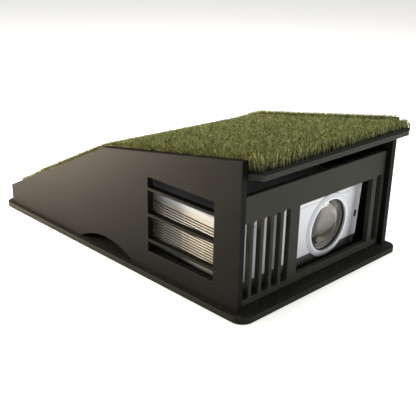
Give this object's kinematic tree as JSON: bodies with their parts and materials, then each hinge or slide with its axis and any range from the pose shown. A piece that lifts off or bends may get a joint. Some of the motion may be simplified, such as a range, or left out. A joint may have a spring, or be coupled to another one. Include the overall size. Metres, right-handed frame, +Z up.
{
  "type": "golf bay projector enclosure",
  "caption": "Black sheet-plastic floor enclosure with a turf-covered lift-off deck and ramp, vents in its left side and front, and a short-throw projector behind its window.",
  "frame": {"origin": "middle of the whole footprint, on the floor", "axes": "+Z up, -Y the way the lens faces, +Y towards the ramp's tail, +X to the right of someone looking at +Y"},
  "size_m": [0.4206, 0.6902, 0.2541],
  "materials": {
    "sheet": "satin black cut sheet",
    "turf": "short artificial grass pile",
    "pad": "matt",
    "angle_alloy": "brushed",
    "screw_steel": "zinc plated",
    "white_cover": "gloss white",
    "grey_cover": "fine texture dark grey",
    "grille_white": "satin white",
    "ring_white": "satin white",
    "black_moulding": "matt black",
    "lens_glass": "coated glass",
    "ir_black": "gloss, smoked",
    "rubber_foot": "matt",
    "board_green": "solder mask",
    "engine_metal": "cast magnesium, matt",
    "sink_alloy": "extruded",
    "wheel_glass": "coated colour segments",
    "key_grey": "satin grey",
    "strip": "satin black sheet strip"
  },
  "bodies": {
    "enclosure": {"base_plate": "sheet", "foot_pads": "pad", "side_panel_left": "sheet", "side_panel_right": "sheet", "front_panel": "sheet", "tail_board": "sheet", "ramp_plate": "sheet", "ramp_turf": "turf", "knee_beam": "sheet", "deck_cleat_left": "strip", "deck_cleat_right": "strip", "ramp_cleat_left": "strip", "ramp_cleat_right": "strip", "corner_angles": "angle_alloy", "base_screws": "screw_steel", "angle_screws": "screw_steel", "cleat_screws": "screw_steel", "lower_cover": "grey_cover", "upper_cover": "white_cover", "front_bezel": "white_cover", "rear_panel": "grey_cover", "side_grille_left": "grille_white", "side_grille_right": "grille_white", "lens_trim_ring": "ring_white", "lens_barrel": "black_moulding", "front_lens": "lens_glass", "rear_lens_group": "lens_glass", "ir_window": "ir_black", "front_feet": "rubber_foot", "main_board": "board_green", "power_supply": "black_moulding", "optical_block": "engine_metal", "imaging_chip": "sink_alloy", "laser_module": "engine_metal", "heat_sink": "sink_alloy", "wheel_motor": "engine_metal", "intake_fan_frame": "black_moulding", "exhaust_fan_frame": "black_moulding", "speaker": "black_moulding", "power_inlet": "black_moulding", "signal_sockets": "black_moulding", "keypad_board": "board_green", "cover_screws": "screw_steel"},
    "lid": {"deck_plate": "sheet", "deck_turf": "turf", "deck_battens": "strip"},
    "focus_ring": {"focus_ring": "ring_white"},
    "zoom_ring": {"zoom_ring": "black_moulding"},
    "rear_foot_left": {"rear_foot_left": "rubber_foot"},
    "rear_foot_right": {"rear_foot_right": "rubber_foot"},
    "intake_fan": {"intake_fan_rotor": "black_moulding"},
    "exhaust_fan": {"exhaust_fan_rotor": "black_moulding"},
    "colour_wheel": {"colour_wheel": "wheel_glass"},
    "power_button": {"power_button": "key_grey"},
    "menu_button": {"menu_button": "key_grey"},
    "up_button": {"up_button": "key_grey"},
    "down_button": {"down_button": "key_grey"},
    "left_button": {"left_button": "key_grey"},
    "right_button": {"right_button": "key_grey"}
  },
  "joints": [
    {"name": "lid_lift", "type": "slide", "parent": "enclosure", "child": "lid", "axis": [0, 0, 1], "range_m": [0, 0.16]},
    {"name": "focus_turn", "type": "hinge", "parent": "enclosure", "child": "focus_ring", "pos_m": [0.068, -0.2771, 0.07074], "axis": [0, -0.9986, -0.0523], "range_deg": [-45, 45]},
    {"name": "zoom_turn", "type": "hinge", "parent": "enclosure", "child": "zoom_ring", "pos_m": [0.068, -0.25912, 0.07168], "axis": [0, -0.9986, -0.0523], "range_deg": [-14, 14]},
    {"name": "foot_left_wind", "type": "slide", "parent": "enclosure", "child": "rear_foot_left", "axis": [0, -0.0523, 0.9986], "range_m": [0, 0.012]},
    {"name": "foot_right_wind", "type": "slide", "parent": "enclosure", "child": "rear_foot_right", "axis": [0, -0.0523, 0.9986], "range_m": [0, 0.012]},
    {"name": "intake_fan_spin", "type": "hinge", "parent": "enclosure", "child": "intake_fan", "pos_m": [-0.1533, -0.11764, 0.0853], "axis": [1, 0, 0], "continuous": true},
    {"name": "exhaust_fan_spin", "type": "hinge", "parent": "enclosure", "child": "exhaust_fan", "pos_m": [0.1533, -0.11764, 0.0853], "axis": [1, 0, 0], "continuous": true},
    {"name": "colour_wheel_spin", "type": "hinge", "parent": "enclosure", "child": "colour_wheel", "pos_m": [-0.0115, -0.14786, 0.08872], "axis": [1, 0, 0], "continuous": true},
    {"name": "power_press", "type": "slide", "parent": "enclosure", "child": "power_button", "axis": [0, 0.0523, -0.9986], "range_m": [0, 0.001], "stiffness_N_per_m": 400, "springref_m": -0.0005},
    {"name": "menu_press", "type": "slide", "parent": "enclosure", "child": "menu_button", "axis": [0, 0.0523, -0.9986], "range_m": [0, 0.001], "stiffness_N_per_m": 400, "springref_m": -0.0005},
    {"name": "up_press", "type": "slide", "parent": "enclosure", "child": "up_button", "axis": [0, 0.0523, -0.9986], "range_m": [0, 0.001], "stiffness_N_per_m": 400, "springref_m": -0.0005},
    {"name": "down_press", "type": "slide", "parent": "enclosure", "child": "down_button", "axis": [0, 0.0523, -0.9986], "range_m": [0, 0.001], "stiffness_N_per_m": 400, "springref_m": -0.0005},
    {"name": "left_press", "type": "slide", "parent": "enclosure", "child": "left_button", "axis": [0, 0.0523, -0.9986], "range_m": [0, 0.001], "stiffness_N_per_m": 400, "springref_m": -0.0005},
    {"name": "right_press", "type": "slide", "parent": "enclosure", "child": "right_button", "axis": [0, 0.0523, -0.9986], "range_m": [0, 0.001], "stiffness_N_per_m": 400, "springref_m": -0.0005}
  ]
}
